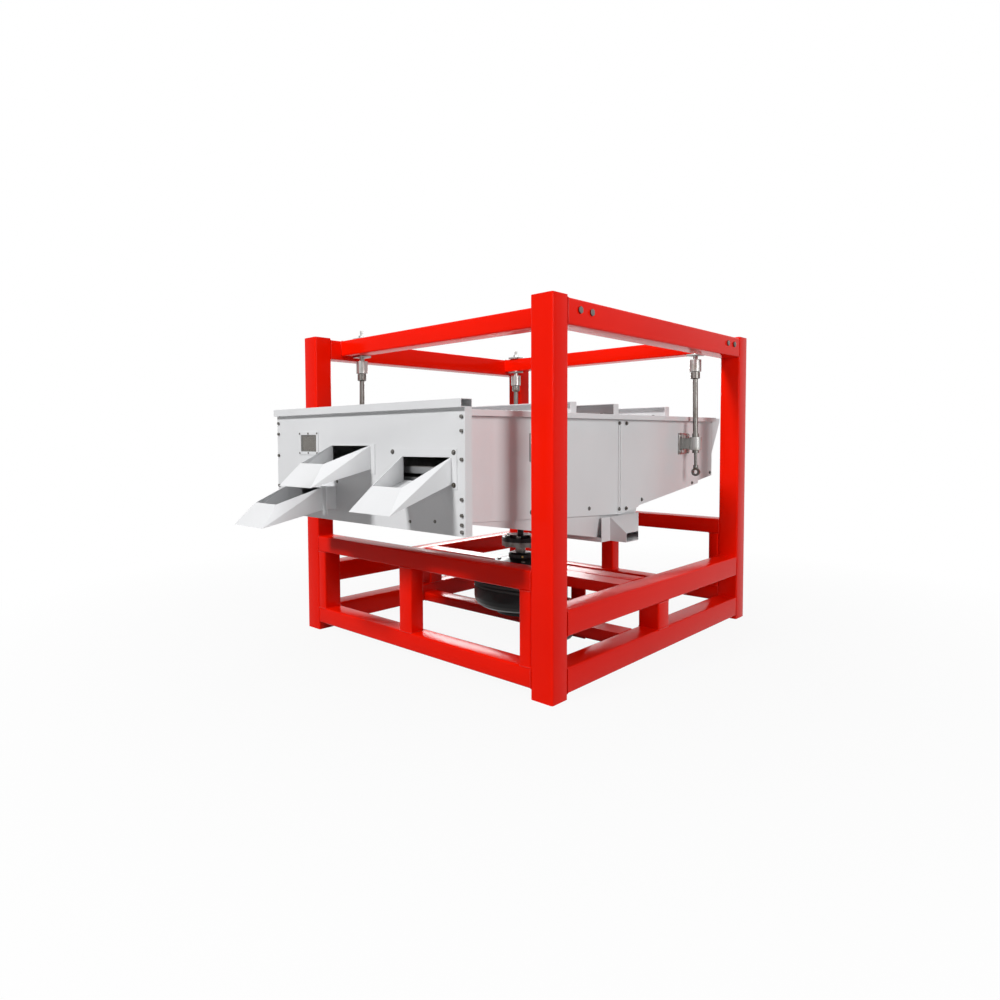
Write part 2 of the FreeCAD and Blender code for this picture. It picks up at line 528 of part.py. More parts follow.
# Three sieve decks, each a barred frame under its screen, falling to the front.
deck_width = "(box_width - 2*sheet - 2*seat_gap)"
deck_run = "(box_front + box_rear - 2*deck_margin)"


def deck(label, level):
    ring = block((f"-{deck_width}/2", f"-{deck_run}/2", 0), (deck_width, deck_run, "deck_height"))
    cell_run = f"({deck_run} - 5*deck_bar)/4"
    cells = [block((f"{sign}deck_bar/2" if sign == "" else f"-{deck_width}/2 + deck_bar",
                    f"-{deck_run}/2 + deck_bar + {k}*({cell_run} + deck_bar)", "-1"),
                   (f"{deck_width}/2 - 1.5*deck_bar", cell_run, "deck_height - 1"))
             for k in range(4) for sign in ("", "-")]
    frame = cut(ring, *cells)
    frame.Placement.Rotation = FreeCAD.Rotation(FreeCAD.Vector(1, 0, 0), 1)
    frame.setExpression("Placement.Rotation.Angle", bound("deck_slope"))
    node(label, place(frame, *on_box(0, "(box_rear - box_front)/2", level)))


deck("sieve_deck_upper", "deck_one_level")
deck("sieve_deck_middle", "deck_two_level")
deck("sieve_deck_lower", "deck_three_level")

# Drive beam of the box: a tube from side to side, a tower down to the crank bearing.
tower_bottom = "(box_bearing_level + 56)"
node("box_drive_beam", cut(
    fuse(block(on_box(f"-{box_x} + sheet", f"{drive_y} - box_beam_width/2", "box_beam_level"),
               ("box_width - 2*sheet", "box_beam_width", "box_beam_height")),
         cylinder("tower_radius", f"box_beam_level - {tower_bottom}", *on_box(0, drive_y, tower_bottom))),
    block(on_box(f"-{box_x}", f"{drive_y} - box_beam_width/2 + rail_wall", "box_beam_level + rail_wall"),
          ("box_width", "box_beam_width - 2*rail_wall", "box_beam_height - 2*rail_wall"))))
node("crank_bearing", turned([
    ("pin_radius + running_gap", "box_bearing_level"), ("box_bearing_flange", "box_bearing_level"),
    ("box_bearing_flange", "box_bearing_level + 14"), ("box_bearing_radius", "box_bearing_level + 18"),
    ("box_bearing_radius", tower_bottom), ("pin_radius + running_gap", tower_bottom)], on_box(0, drive_y)))

# Clamps on the box sides: a bolted plate, an arm and an eye bored for the rod's ball.
def clamp(side, end):
    x, y = f"{side}{hang_x}", f"{end}{hang_y}"
    right = side == ""
    arm = block(on_box(box_x if right else f"-{hang_x}", f"{y} - clamp_arm_width/2", "clamp_level - clamp_arm_height/2"),
                ("hanger_reach", "clamp_arm_width", "clamp_arm_height"))
    plate = block(on_box(box_x if right else f"-{box_x} - clamp_plate", f"{y} - clamp_plate_width/2",
                         "clamp_level - clamp_plate_height/2"),
                  ("clamp_plate", "clamp_plate_width", "clamp_plate_height"))
    heads = [hexagon("bolt_radius*1.3", "bolt_head",
                     *on_box(f"{box_x} + clamp_plate" if right else f"-{box_x} - clamp_plate",
                             f"{y} + {across}*(clamp_plate_width/2 - 16)", f"clamp_level + {up}*(clamp_plate_height/2 - 16)"),
                     outward["right" if right else "left"])
             for across in ("-1", "1") for up in ("-1", "1")]
    barrel = cylinder("clamp_radius + 4", "clamp_height", *on_box(x, y, "clamp_level - clamp_height/2"))
    bore = cylinder("ball_radius + running_gap", "clamp_height + 2", *on_box(x, y, "clamp_level - clamp_height/2 - 1"))
    return cut(fuse(arm, plate, barrel, *heads), bore)


node("rod_clamps", group(*[clamp(side, end) for side in ("", "-") for end in ("-", "")]))

# Screws down both edges of the front face, and along the seams.
forward = FreeCAD.Rotation(FreeCAD.Vector(1, 0, 0), 90)
node("face_bolts", group(*[
    hexagon("bolt_radius*0.8", "bolt_head", *on_box(x, face_y, f"face_bottom + {share}*(face_top - face_bottom)"), forward)
    for x in (f"{face_x} - 14", f"-{face_x} + 14") for share in (0.037, 0.092, 0.166, 0.29, 0.6, 0.82, 0.93)]))

# Drive on the vertical shaft: footstep bearing, belt wheel, top bearing and coupling.
shaft_bottom = "(side_lower_level + beam_height + 8)"
node("main_shaft", cylinder("shaft_radius", f"disc_level - {shaft_bottom}", 0, drive_y, shaft_bottom))
bore = "shaft_radius + running_gap"
beam_top = "(side_lower_level + beam_height)"
node("foot_bearing", turned([
    (0, beam_top), ("foot_flange_radius", beam_top), ("foot_flange_radius", f"{beam_top} + bearing_flange_height - 4"),
    ("foot_boss_radius", f"{beam_top} + bearing_flange_height"), ("foot_boss_radius", f"{beam_top} + foot_height - 4"),
    ("foot_boss_radius - 6", f"{beam_top} + foot_height"), (bore, f"{beam_top} + foot_height"),
    (bore, f"{shaft_bottom} - running_gap"), (0, f"{shaft_bottom} - running_gap")], (0, drive_y, 0)))
seat_z = "(side_upper_level + rail_side)"
node("top_bearing", turned([
    (bore, seat_z), ("bearing_flange_radius", seat_z), ("bearing_flange_radius", f"{seat_z} + 6"),
    ("bearing_radius + 24", f"{seat_z} + bearing_flange_height"), ("bearing_radius", f"{seat_z} + bearing_flange_height + 6"),
    ("bearing_radius", f"{seat_z} + bearing_height - 8"), ("bearing_radius - 9", f"{seat_z} + bearing_height"),
    (bore, f"{seat_z} + bearing_height")], (0, drive_y, 0)))

# Belt wheel: a pot with a rounded lower rim, three belt grooves and a hub on a web.
wheel_top = "(wheel_level + wheel_height)"
groove_low = f"({wheel_top} - 12 - 3*groove_pitch)"
grooves = []
for k in range(3):
    low = f"{groove_low} + {k}*groove_pitch"
    grooves += [("wheel_radius", f"{low}"), ("wheel_radius - groove_depth", f"{low} + 2"),
                ("wheel_radius - groove_depth", f"{low} + groove_width - 2"), ("wheel_radius", f"{low} + groove_width")]
hub = "(shaft_radius + 26)"
node("belt_wheel", turned(
    [("shaft_radius", "wheel_level"), ("wheel_radius - wheel_corner", "wheel_level"),
     ("wheel_radius - wheel_corner*0.62", "wheel_level + wheel_corner*0.08"),
     ("wheel_radius - wheel_corner*0.29", "wheel_level + wheel_corner*0.29"),
     ("wheel_radius - wheel_corner*0.08", "wheel_level + wheel_corner*0.62"),
     ("wheel_radius", "wheel_level + wheel_corner")] + grooves +
    [("wheel_radius", wheel_top), ("wheel_radius - groove_depth - wheel_rim", wheel_top),
     ("wheel_radius - groove_depth - wheel_rim", "wheel_level + wheel_corner"),
     ("wheel_radius - wheel_corner - 6", "wheel_level + 24"), (hub, "wheel_level + 24"),
     (hub, wheel_top), ("shaft_radius", wheel_top)], (0, drive_y, 0)))

# Coupling: a disc on the shaft, and a flange bolted on it that carries the crank pin.
flange_z = "(disc_level + disc_height)"
boss_z = f"({flange_z} + flange_height)"
bolt_ring = [(f"coupling_bolt_circle/2*cos({60 * k})", f"{drive_y} + coupling_bolt_circle/2*sin({60 * k})")
             for k in range(6)]


def drilled(disc, z, height):
    return cut(disc, *[cylinder("coupling_bolt_radius", height, x, y, z) for x, y in bolt_ring])


node("shaft_disc", drilled(cylinder("disc_radius", "disc_height", 0, drive_y, "disc_level"), "disc_level", "disc_height"))
crank = fuse(cylinder("disc_radius", "flange_height", 0, drive_y, flange_z),
             cylinder("boss_radius", "boss_height", 0, drive_y, boss_z),
             cylinder("pin_radius", f"pin_top - {boss_z} - boss_height",
                      off_x, f"{drive_y} + {off_y}", f"{boss_z} + boss_height"))
node("crank_flange", drilled(crank, flange_z, "flange_height"))
node("coupling_bolts", group(*[
    fuse(cylinder("coupling_bolt_radius - seat_gap", "disc_height + flange_height", x, y, "disc_level"),
         hexagon("coupling_bolt_radius*1.7", 9, x, y, boss_z),
         hexagon("coupling_bolt_radius*1.7", 9, x, y, "disc_level - 9"))
    for x, y in bolt_ring]))

# Motor, foot mounted on an upright plate between the beams, shaft upward, with two
# short beams from the plate to the right rails.
plate_y = f"({beam_y} - mount_plate)"
motor_y = f"({plate_y} - motor_height)"
motor_top = "(motor_level + motor_length)"
motor_beam_y = f"({plate_y} - motor_beam_width)"
motor_beams = [tube((x, motor_beam_y, level), (f"{cross_x} - {x}", "motor_beam_width", "beam_height"), 0)
               for x, level in (("(motor_x - mount_width/2)", upper_beam_z),
                                ("(motor_x + motor_beam_inset)", "side_lower_level + beam_height"))]
node("motor_plate", fuse(
    cut(block(("motor_x - mount_width/2", plate_y, "side_lower_level"),
              ("mount_width/2 + motor_beam_inset + mount_plate*2", "mount_plate",
               "side_upper_level + rail_side - side_lower_level")),
        block(("motor_x - mount_width/2", plate_y, f"{groove_low} - 8"),
              ("mount_width/2 + belt_slot/2", "mount_plate", "belt_slot"))),
    *motor_beams))
foot = block(("motor_x - motor_radius*0.8", f"{plate_y} - motor_height*0.55", "motor_level + 26"),
             ("motor_radius*1.6", "motor_height*0.55", "motor_length - 70"))
node("motor", fuse(turned([
    (0, "motor_level"), ("motor_radius - 8", "motor_level"), ("motor_radius", "motor_level + 10"),
    ("motor_radius", "motor_level + 50"), ("motor_radius - 6", "motor_level + 54"),
    ("motor_radius - 6", f"{motor_top} - 26"), ("motor_radius", f"{motor_top} - 22"),
    ("motor_radius", f"{motor_top} - 12"), ("motor_radius - 40", motor_top), (0, motor_top)],
    ("motor_x", motor_y, 0)), foot))

# Motor pulley in line with the wheel's grooves.
pulley_rows = []
for k in range(3):
    low = f"{groove_low} + {k}*groove_pitch"
    pulley_rows += [("pulley_radius", f"{low}"), ("pulley_radius - groove_depth", f"{low} + 2"),
                    ("pulley_radius - groove_depth", f"{low} + groove_width - 2"), ("pulley_radius", f"{low} + groove_width")]
node("motor_pulley", turned(
    [(0, f"{motor_top} + seat_gap"), ("motor_shaft_radius", f"{motor_top} + seat_gap"),
     ("motor_shaft_radius", f"{groove_low} - 6"), ("pulley_radius", f"{groove_low} - 6")] + pulley_rows +
    [("pulley_radius", f"{wheel_top} - 4"), ("motor_shaft_radius + 10", f"{wheel_top} - 4"),
     ("motor_shaft_radius + 10", f"{wheel_top} + 4"), (0, f"{wheel_top} + 4")], ("motor_x", motor_y, 0)))

# Belts: loops round both pulleys, lying in the grooves.
wheel_centre = FreeCAD.Vector(0, -size("drive_setback"), 0)
motor_centre = FreeCAD.Vector(size("motor_x"), -size("drive_setback") - size("beam_width") / 2
                              - size("mount_plate") - size("motor_height"), 0)


def loop(large, small):
    """The wire round two circles and their outer tangents."""
    reach = motor_centre - wheel_centre
    heading = math.atan2(reach.y, reach.x)
    spread = math.acos((large - small) / reach.Length)

    def point(centre, radius, angle):
        return centre + FreeCAD.Vector(radius * math.cos(angle), radius * math.sin(angle), 0)

    a, b = heading + spread, heading - spread
    return Part.Wire([
        Part.LineSegment(point(wheel_centre, large, b), point(motor_centre, small, b)).toShape(),
        Part.Arc(point(motor_centre, small, b), point(motor_centre, small, heading),
                 point(motor_centre, small, a)).toShape(),
        Part.LineSegment(point(motor_centre, small, a), point(wheel_centre, large, a)).toShape(),
        Part.Arc(point(wheel_centre, large, a), point(wheel_centre, large, heading + math.pi),
                 point(wheel_centre, large, b)).toShape()])


sunk = size("groove_depth") - size("belt_seat")
thick = size("groove_depth") - 2 * size("belt_seat")
lift = FreeCAD.Vector(0, 0, size("belt_height"))
belt_low = (size("wheel_level") + size("wheel_height") - 12 - 3 * size("groove_pitch")
            + (size("groove_width") - size("belt_height")) / 2)
inner, outer = [
    Part.Face(loop(size("wheel_radius") - depth, size("pulley_radius") - depth)).extrude(lift)
    for depth in (sunk, sunk - thick)]
belt = outer.cut(inner).Solids[0]
belts = doc.addObject("Part::Feature", "belts")
belts.Shape = Part.makeCompound([
    belt.translated(FreeCAD.Vector(0, 0, belt_low + k * size("groove_pitch"))) for k in range(3)])
node("belts", belts)

doc.recompute()
for obj in doc.Objects:
    if "Invalid" in obj.State or "Error" in obj.State:
        raise RuntimeError(f"{obj.Label} failed: {obj.State}")
os.makedirs("parts", exist_ok=True)
for label, obj in nodes.items():
    shape = obj.Shape
    if shape.isNull() or not shape.isValid() or not shape.Solids:
        raise RuntimeError(f"{label} is not a valid solid")
    shape.exportStep(f"parts/{label}.step")
    box = shape.BoundBox
    print(f"{label:26s} solids {len(shape.Solids):3d} volume {shape.Volume / 1e3:10.1f} cm3 "
          f"x {box.XMin:8.1f} {box.XMax:8.1f} y {box.YMin:8.1f} {box.YMax:8.1f} z {box.ZMin:7.1f} {box.ZMax:7.1f}")
print(len(nodes), "nodes")
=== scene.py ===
import math

import bmesh
import bpy
from mathutils import Matrix, Vector


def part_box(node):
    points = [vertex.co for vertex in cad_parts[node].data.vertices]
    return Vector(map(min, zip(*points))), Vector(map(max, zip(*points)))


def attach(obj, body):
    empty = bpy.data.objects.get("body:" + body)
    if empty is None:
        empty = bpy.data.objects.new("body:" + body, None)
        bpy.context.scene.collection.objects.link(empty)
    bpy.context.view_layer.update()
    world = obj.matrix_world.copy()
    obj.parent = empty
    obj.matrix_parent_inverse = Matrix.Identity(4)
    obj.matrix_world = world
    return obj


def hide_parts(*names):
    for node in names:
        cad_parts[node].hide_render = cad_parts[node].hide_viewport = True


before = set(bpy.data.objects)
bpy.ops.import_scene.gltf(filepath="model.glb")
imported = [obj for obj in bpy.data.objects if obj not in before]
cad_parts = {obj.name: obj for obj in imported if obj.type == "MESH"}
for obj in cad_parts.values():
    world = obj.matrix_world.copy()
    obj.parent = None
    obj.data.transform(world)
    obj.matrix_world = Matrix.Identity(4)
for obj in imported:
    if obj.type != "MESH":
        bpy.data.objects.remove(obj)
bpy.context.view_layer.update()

# Camera. Eye height just under a metre, off the front right corner, with the long
# side and the discharge end both in view. Its focal length and the point it looks at
# are in pixels of the square picture.
eye = Vector((2.2295, -2.9633, 0.9945))
yaw, pitch, roll = 0.8024, 0.04697, -0.0083
picture = 1000
focal_length, middle_across, middle_down = 682.617, 421.43, 470.32
ahead = Vector((-math.sin(yaw) * math.cos(pitch), math.cos(yaw) * math.cos(pitch), -math.sin(pitch)))
aside = Vector((math.cos(yaw), math.sin(yaw), 0))
above = aside.cross(ahead)
level = aside * math.cos(roll) + above * math.sin(roll)
upright = above * math.cos(roll) - aside * math.sin(roll)
lens = bpy.data.cameras.new("camera")
lens.sensor_width = 36
lens.lens = focal_length / picture * lens.sensor_width
lens.shift_x = (picture / 2 - middle_across) / picture
lens.shift_y = (middle_down - picture / 2) / picture
lens.clip_end = 50
camera = bpy.data.objects.new("camera", lens)
bpy.context.collection.objects.link(camera)
camera.matrix_world = Matrix.Translation(eye) @ Matrix((level, upright, -ahead)).transposed().to_4x4()
bpy.context.scene.camera = camera


# Frame: square tube, cut, welded and sprayed with a thick coat of red gloss enamel.
# The tube's long corners are rounded by the mill, and the coat has a faint orange
# peel over the filed welds.
class Value:
    """A shader socket; arithmetic on it adds the nodes of the sum."""

    def __init__(self, tree, socket):
        self.tree, self.socket = tree, socket

    def node(self, kind, settings, *inputs, pick=0, **named):
        """Adds a node: its settings first, then its sockets by position or by name."""
        node = self.tree.nodes.new(kind)
        for key, value in settings.items():
            setattr(node, key, value)
        for key, value in list(enumerate(inputs)) + list(named.items()):
            if value is None:
                continue
            socket = node.inputs[key if isinstance(key, int) else key.replace("_", " ")]
            if isinstance(value, Value):
                self.tree.links.new(value.socket, socket)
            else:
                socket.default_value = value
        return Value(self.tree, node.outputs[pick])

    def sum(self, operation, *inputs):
        return self.node("ShaderNodeMath", {"operation": operation}, *inputs)

    def __add__(self, other):
        return self.sum("ADD", self, other)

    def __radd__(self, other):
        return self.sum("ADD", other, self)

    def __mul__(self, other):
        return self.sum("MULTIPLY", self, other)

    def __rmul__(self, other):
        return self.sum("MULTIPLY", other, self)

    def clamp(self):
        return self.node("ShaderNodeMath", {"operation": "ADD", "use_clamp": True}, self, 0.0)

    def between(self, low, high):
        return self.node("ShaderNodeMapRange", {}, self, low, high, 0.0, 1.0)

    def mix(self, first, second):
        """The first colour where this is 0, the second where it is 1."""
        return self.node("ShaderNodeMix", {"data_type": "RGBA"}, self, None, None, None, None, None,
                         first, second, pick=2)


def finish(name):
    """A new material, its Principled shader and the object's own coordinates."""
    material = bpy.data.materials.new(name)
    material.use_nodes = True
    tree = material.node_tree
    shader = next(node for node in tree.nodes if node.type == "BSDF_PRINCIPLED")
    place = Value(tree, None).node("ShaderNodeTexCoord", {}, pick=3)
    return material, shader, place


def noise(place, scale, detail):
    return place.node("ShaderNodeTexNoise", {}, place, Scale=scale, Detail=detail)


def drive(shader, socket, value):
    """Sets or links one input of the shader."""
    if isinstance(value, Value):
        value.tree.links.new(value.socket, shader.inputs[socket])
    else:
        shader.inputs[socket].default_value = value


def bump(height, strength, distance):
    return height.node("ShaderNodeBump", {}, Strength=strength, Distance=distance, Height=height)


def rgb(*shade):
    return tuple(shade) + (1.0,)


def only(piece=None):
    """Leaves nothing selected but the piece."""
    if bpy.context.object and bpy.context.object.mode == "EDIT":
        bpy.ops.object.mode_set(mode="OBJECT")
    bpy.ops.object.select_all(action="DESELECT")
    if piece:
        piece.select_set(True)
        bpy.context.view_layer.objects.active = piece


def choose(kind, test):
    """In edit mode, selects the faces or edges that pass the test."""
    bpy.ops.mesh.select_mode(type=kind)
    bpy.ops.mesh.select_all(action="DESELECT")
    mesh = bmesh.from_edit_mesh(bpy.context.object.data)
    mesh.normal_update()
    for item in mesh.faces if kind == "FACE" else mesh.edges:
        if test(item):
            item.select_set(True)
    bmesh.update_edit_mesh(bpy.context.object.data)


def heading(edge):
    """The direction that an edge runs in."""
    return (edge.verts[0].co - edge.verts[1].co).normalized()


def apply(kind, **settings):
    """Adds a modifier to the piece in hand and applies it."""
    modifier = bpy.context.object.modifiers.new(kind.lower(), kind)
    for key, value in settings.items():
        setattr(modifier, key, value)
    bpy.ops.object.modifier_apply(modifier=modifier.name)


def settle(name, material, body, angle=35):
    """Fixes the piece in hand in place, paints it and hangs it on its body."""
    piece = bpy.context.object
    only(piece)
    piece.name = piece.data.name = name
    bpy.ops.object.transform_apply(location=True, rotation=True, scale=True)
    piece.data.materials.clear()
    piece.data.materials.append(material)
    bpy.ops.object.shade_smooth_by_angle(angle=math.radians(angle))
    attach(piece, body)
    return piece


def merged(name):
    """Takes in hand a copy of a solid, with its triangles merged into whole faces."""
    only()
    piece = bpy.data.objects.new(name + "_finished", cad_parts[name].data.copy())
    bpy.context.collection.objects.link(piece)
    only(piece)
    bpy.ops.object.mode_set(mode="EDIT")
    bpy.ops.mesh.select_all(action="SELECT")
    bpy.ops.mesh.remove_doubles(threshold=0.00001)
    bpy.ops.mesh.dissolve_limited(angle_limit=math.radians(0.6))


def rounded(name, axis, material, radius=0.008):
    """A tube with its long outer corners rolled, in place of the sharp one."""
    merged(name)
    choose("EDGE", lambda edge: edge.is_manifold and edge.calc_face_angle_signed() > 1.0
           and abs(heading(edge)[axis]) > 0.999)
    bpy.ops.mesh.bevel(offset=radius, segments=4, affect="EDGES")
    bpy.ops.object.mode_set(mode="OBJECT")
    apply("WEIGHTED_NORMAL", keep_sharp=True)
    piece = settle(name + "_rolled", material, "frame", 30)
    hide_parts(name)


def softened(name, material, body, width=0.0008, angle=35):
    """A folded or turned piece with its edges broken, in place of the sharp one."""
    merged(name)
    bpy.ops.object.mode_set(mode="OBJECT")
    apply("BEVEL", limit_method="ANGLE", angle_limit=math.radians(40), width=width, segments=2)
    apply("WEIGHTED_NORMAL", keep_sharp=True)
    piece = settle(name + "_edged", material, body, angle)
    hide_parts(name)


def paint(material, *names):
    """Gives solids that are shown as they are their finish."""
    for name in names:
        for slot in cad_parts[name].material_slots:
            slot.material = material


red, shader, place = finish("red_enamel")
cloudy = noise(place, 1.7, 3.0).between(0.3, 0.75)
peel = noise(place, 240.0, 2.0)
flow = noise(place, 11.0, 2.0)
coat = cloudy.mix(rgb(0.91, 0.009, 0.0006), rgb(0.81, 0.007, 0.0004))
drive(shader, "Base Color", coat)
drive(shader, "Roughness", 0.20 + cloudy * 0.06)
drive(shader, "Normal", bump(peel * 0.12 + flow * 0.3, 0.08, 0.0008))
drive(shader, "Coat Weight", 0.015)
drive(shader, "Coat Roughness", 0.05)
drive(shader, "Specular IOR Level", 0.06)

along = {"post": 2, "side": 2, "end": 2, "right": 1, "left": 1, "front": 0, "rear": 0, "upper": 0, "lower": 0}
tubes = ["post_front_right", "post_front_left", "post_rear_right", "post_rear_left",
         "right_top_rail", "right_upper_rail", "right_lower_rail", "left_top_rail", "left_upper_rail",
         "left_lower_rail", "side_studs", "front_upper_rail", "front_lower_rail", "rear_upper_rail",
         "rear_lower_rail", "end_uprights", "front_cross_rail", "rear_cross_rail", "upper_drive_beam",
         "lower_drive_beam"]
for name in tubes:
    rounded(name, along[name.split("_")[0]], red)
paint(red, "motor_plate")

# Welds: one bead round the foot of each rail where it meets a post, and round both
# ends of each stud and stile, laid by hand and painted over with the tube.
post_width, stile_width, stud_width = 0.1, 0.055, 0.08
lower_rail_top, side_rail_under, end_rail_under = 0.12, 0.24, 0.412
rear_end_lift = 0.046
side_stud_y, end_stud_x = -0.03, -0.02
bead_red, shader, place = finish("painted_weld")
ripple = noise(place, 330.0, 1.0)
drive(shader, "Base Color", ripple.mix(rgb(0.70, 0.006, 0.0006), rgb(0.84, 0.009, 0.0008)))
drive(shader, "Roughness", 0.24 + ripple * 0.1)
drive(shader, "Normal", bump(ripple, 0.6, 0.0012))
drive(shader, "Specular IOR Level", 0.15)


def bead(centre, axis, span, radius=0.0024):
    """A bead round a rectangle that stands across the axis."""
    only()
    turn = ((0, math.pi / 2, 0), (math.pi / 2, 0, 0), (0, 0, 0))[axis]
    across = ((span[2], span[1]), (span[0], span[2]), (span[0], span[1]))[axis]
    bpy.ops.mesh.primitive_plane_add(size=1)
    bpy.context.object.scale = (*across, 1)
    bpy.ops.object.transform_apply(scale=True)
    bpy.ops.object.mode_set(mode="EDIT")
    bpy.ops.mesh.select_all(action="SELECT")
    bpy.ops.mesh.bevel(offset=0.007, segments=3, affect="VERTICES")
    bpy.ops.mesh.select_all(action="SELECT")
    bpy.ops.mesh.delete(type="ONLY_FACE")
    bpy.ops.object.mode_set(mode="OBJECT")
    bpy.ops.object.convert(target="CURVE")
    bpy.context.object.data.bevel_depth = radius
    bpy.context.object.data.bevel_resolution = 1
    bpy.ops.object.convert(target="MESH")
    bpy.context.object.rotation_euler = turn
    bpy.context.object.location = centre
    bpy.ops.object.transform_apply(location=True, rotation=True)
    return bpy.context.object


def rail_beads(name):
    """The beads at the two ends of a rail."""
    axis = along[name.split("_")[0]]
    low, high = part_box(name)
    made = []
    for end in (low, high):
        centre = (low + high) / 2
        centre[axis] = end[axis]
        made.append(bead(centre, axis, high - low))
    return made


def upright_beads(x, y, width, depth, foot, head):
    """The beads at the foot and the head of an upright."""
    return [bead((x, y, z), 2, (width, depth, 0.0)) for z in (foot, head)]


def join(pieces):
    """Makes one object of them, and takes it in hand."""
    only()
    for piece in pieces:
        piece.select_set(True)
    bpy.context.view_layer.objects.active = pieces[0]
    bpy.ops.object.join()


beads = []
for name in tubes:
    if not name.startswith("post") and name not in ("side_studs", "end_uprights"):
        beads += rail_beads(name)
half_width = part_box("side_studs")[1].x - post_width / 2
for x in (-half_width, half_width):
    beads += upright_beads(x, side_stud_y, post_width, post_width, lower_rail_top, side_rail_under)
low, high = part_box("end_uprights")
half_width = high.x - stile_width / 2
for outer_y, inward, lift in ((low.y, 1, 0.0), (high.y, -1, rear_end_lift)):
    foot, head = lower_rail_top + lift, end_rail_under + lift
    for x in (-half_width, half_width):
        beads += upright_beads(x, outer_y + inward * post_width / 2, stile_width, post_width, foot, head)
    beads += upright_beads(end_stud_x, outer_y + inward * stud_width / 2, stud_width, stud_width, foot, head)
join(beads)
settle("frame_welds", bead_red, "frame", 50)


# Screws: hexagon heads on washers, zinc plated, turned tight to where they stopped.
# The plating has gone a little yellow and dull, with grey where a spanner has slipped.
def plated(name, clean, dirty, polish, patch):
    """Zinc plate over fine tool marks, which run round the piece."""
    material, shader, place = finish(name)
    marks = place.node("ShaderNodeMapping", {}, place, Scale=(1.0, 1.0, 14.0))
    rings = noise(marks, 160.0, 3.0)
    smear = noise(place, patch, 4.0).between(0.5, 0.75)
    drive(shader, "Base Color", smear.mix(clean, dirty))
    drive(shader, "Metallic", 1.0)
    drive(shader, "Roughness", polish + rings * 0.16 + smear * 0.12)
    drive(shader, "Normal", bump(rings, 0.10, 0.0004))
    return material


def screw(radius, height):
    """A hexagon head on its washer, standing on Z."""
    washer, washer_middle = 0.0024, 0.0006
    only()
    bpy.ops.mesh.primitive_cylinder_add(vertices=20, radius=radius * 1.45, depth=washer,
                                        location=(0, 0, washer_middle))
    bpy.ops.object.mode_set(mode="EDIT")
    choose("FACE", lambda face: face.normal.z > 0.9)
    bpy.ops.mesh.bevel(offset=0.0006, segments=1, affect="EDGES")
    bpy.ops.mesh.primitive_cylinder_add(vertices=6, radius=radius, depth=height,
                                        location=(0, 0, height / 2 + 0.001))
    choose("FACE", lambda face: face.normal.z > 0.9 and face.calc_center_median().z > height * 0.9)
    bpy.ops.mesh.inset(thickness=radius * 0.16)
    bpy.ops.transform.translate(value=(0, 0, height * 0.12))
    bpy.ops.object.mode_set(mode="OBJECT")
    return bpy.context.object


def copies(model, spots, twist=2.4):
    """Copies of the model, its Z turned to each direction, each twisted on from the last."""
    made = []
    for number, (place, way) in enumerate(spots):
        copy = bpy.data.objects.new("copy", model.data.copy())
        bpy.context.collection.objects.link(copy)
        turn = Vector(way).to_track_quat("Z", "Y").to_matrix().to_4x4()
        copy.matrix_world = Matrix.Translation(place) @ turn @ Matrix.Rotation(number * twist, 4, "Z")
        made.append(copy)
    bpy.data.objects.remove(model)
    join(made)


steel = plated("bright_steel", rgb(0.155, 0.148, 0.14), rgb(0.08, 0.069, 0.056), 0.26, 26.0)
panel_head, panel_head_height = 0.0068, 0.005
face_head, face_head_height = 0.0046, 0.0036
sheet, strip_half_width, lip_reach = 0.003, 0.04, 0.02
side_places = ((-0.291, 0.672), (-0.034, 0.650), (0.031, 0.648), (0.187, 0.680), (0.751, 0.735),
               (0.982, 0.783), (-0.034, 1.058), (0.031, 1.058), (-1.10, 0.705), (-0.72, 0.690))
x_right, x_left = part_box("side_panels_right")[1].x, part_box("side_panels_left")[0].x
face_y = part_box("front_face")[0].y + lip_reach
spots = []
for y, z in side_places:
    proud = sheet if abs(y) < strip_half_width else 0
    for x, way in ((x_right, 1), (x_left, -1)):
        spots.append(((x + way * proud, y, z), (way, 0, 0)))
for z in (0.943, 0.826):
    for x in (0.240, 0.566):
        spots.append(((x, face_y - sheet, z), (0, -1, 0)))
copies(screw(panel_head, panel_head_height), spots)
settle("panel_screws", steel, "sieve_box")

spots = [((x, face_y, z), (0, -1, 0)) for x, z in ((0.333, 0.677), (0.467, 0.688), (-0.123, 0.812))]
copies(screw(face_head, face_head_height), spots)
settle("face_low_screws", steel, "sieve_box")

# Window screws: small plated pan heads, three above and three below the pane, which
# hold the inspection window's frame on the face.
pan_head = 0.0048
frame_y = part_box("window_frame")[0].y
spots = [((x, frame_y, z), (0, -1, 0)) for z in (1.0195, 0.9325) for x in (-0.395, -0.3285, -0.262)]
only()
bpy.ops.mesh.primitive_uv_sphere_add(segments=16, ring_count=8, radius=pan_head)
bpy.ops.object.mode_set(mode="EDIT")
bpy.ops.mesh.select_all(action="SELECT")
bpy.ops.mesh.bisect(plane_co=(0, 0, 0.0), plane_no=(0, 0, 1), use_fill=True, clear_inner=True)
bpy.ops.mesh.select_all(action="SELECT")
bpy.ops.transform.resize(value=(1, 1, 0.6))
bpy.ops.object.mode_set(mode="OBJECT")
copies(bpy.context.object, spots)
settle("window_screws", steel, "sieve_box")

# Bearing bolts: four plated hexagon bolts on washers hold each bearing's flange down
# on the drive beam under it.
spots = []
for node, reach, flange_top in (("top_bearing", 0.112, 0.006), ("foot_bearing", 0.113, 0.012)):
    low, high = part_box(node)
    middle = (low + high) / 2
    for degrees in (45, 135, 225, 315):
        turn = math.radians(degrees)
        spots.append(((middle.x + reach * math.cos(turn), middle.y + reach * math.sin(turn),
                       low.z + flange_top), (0, 0, 1)))
copies(screw(0.011, 0.009), spots)
settle("bearing_bolts", steel, "frame")

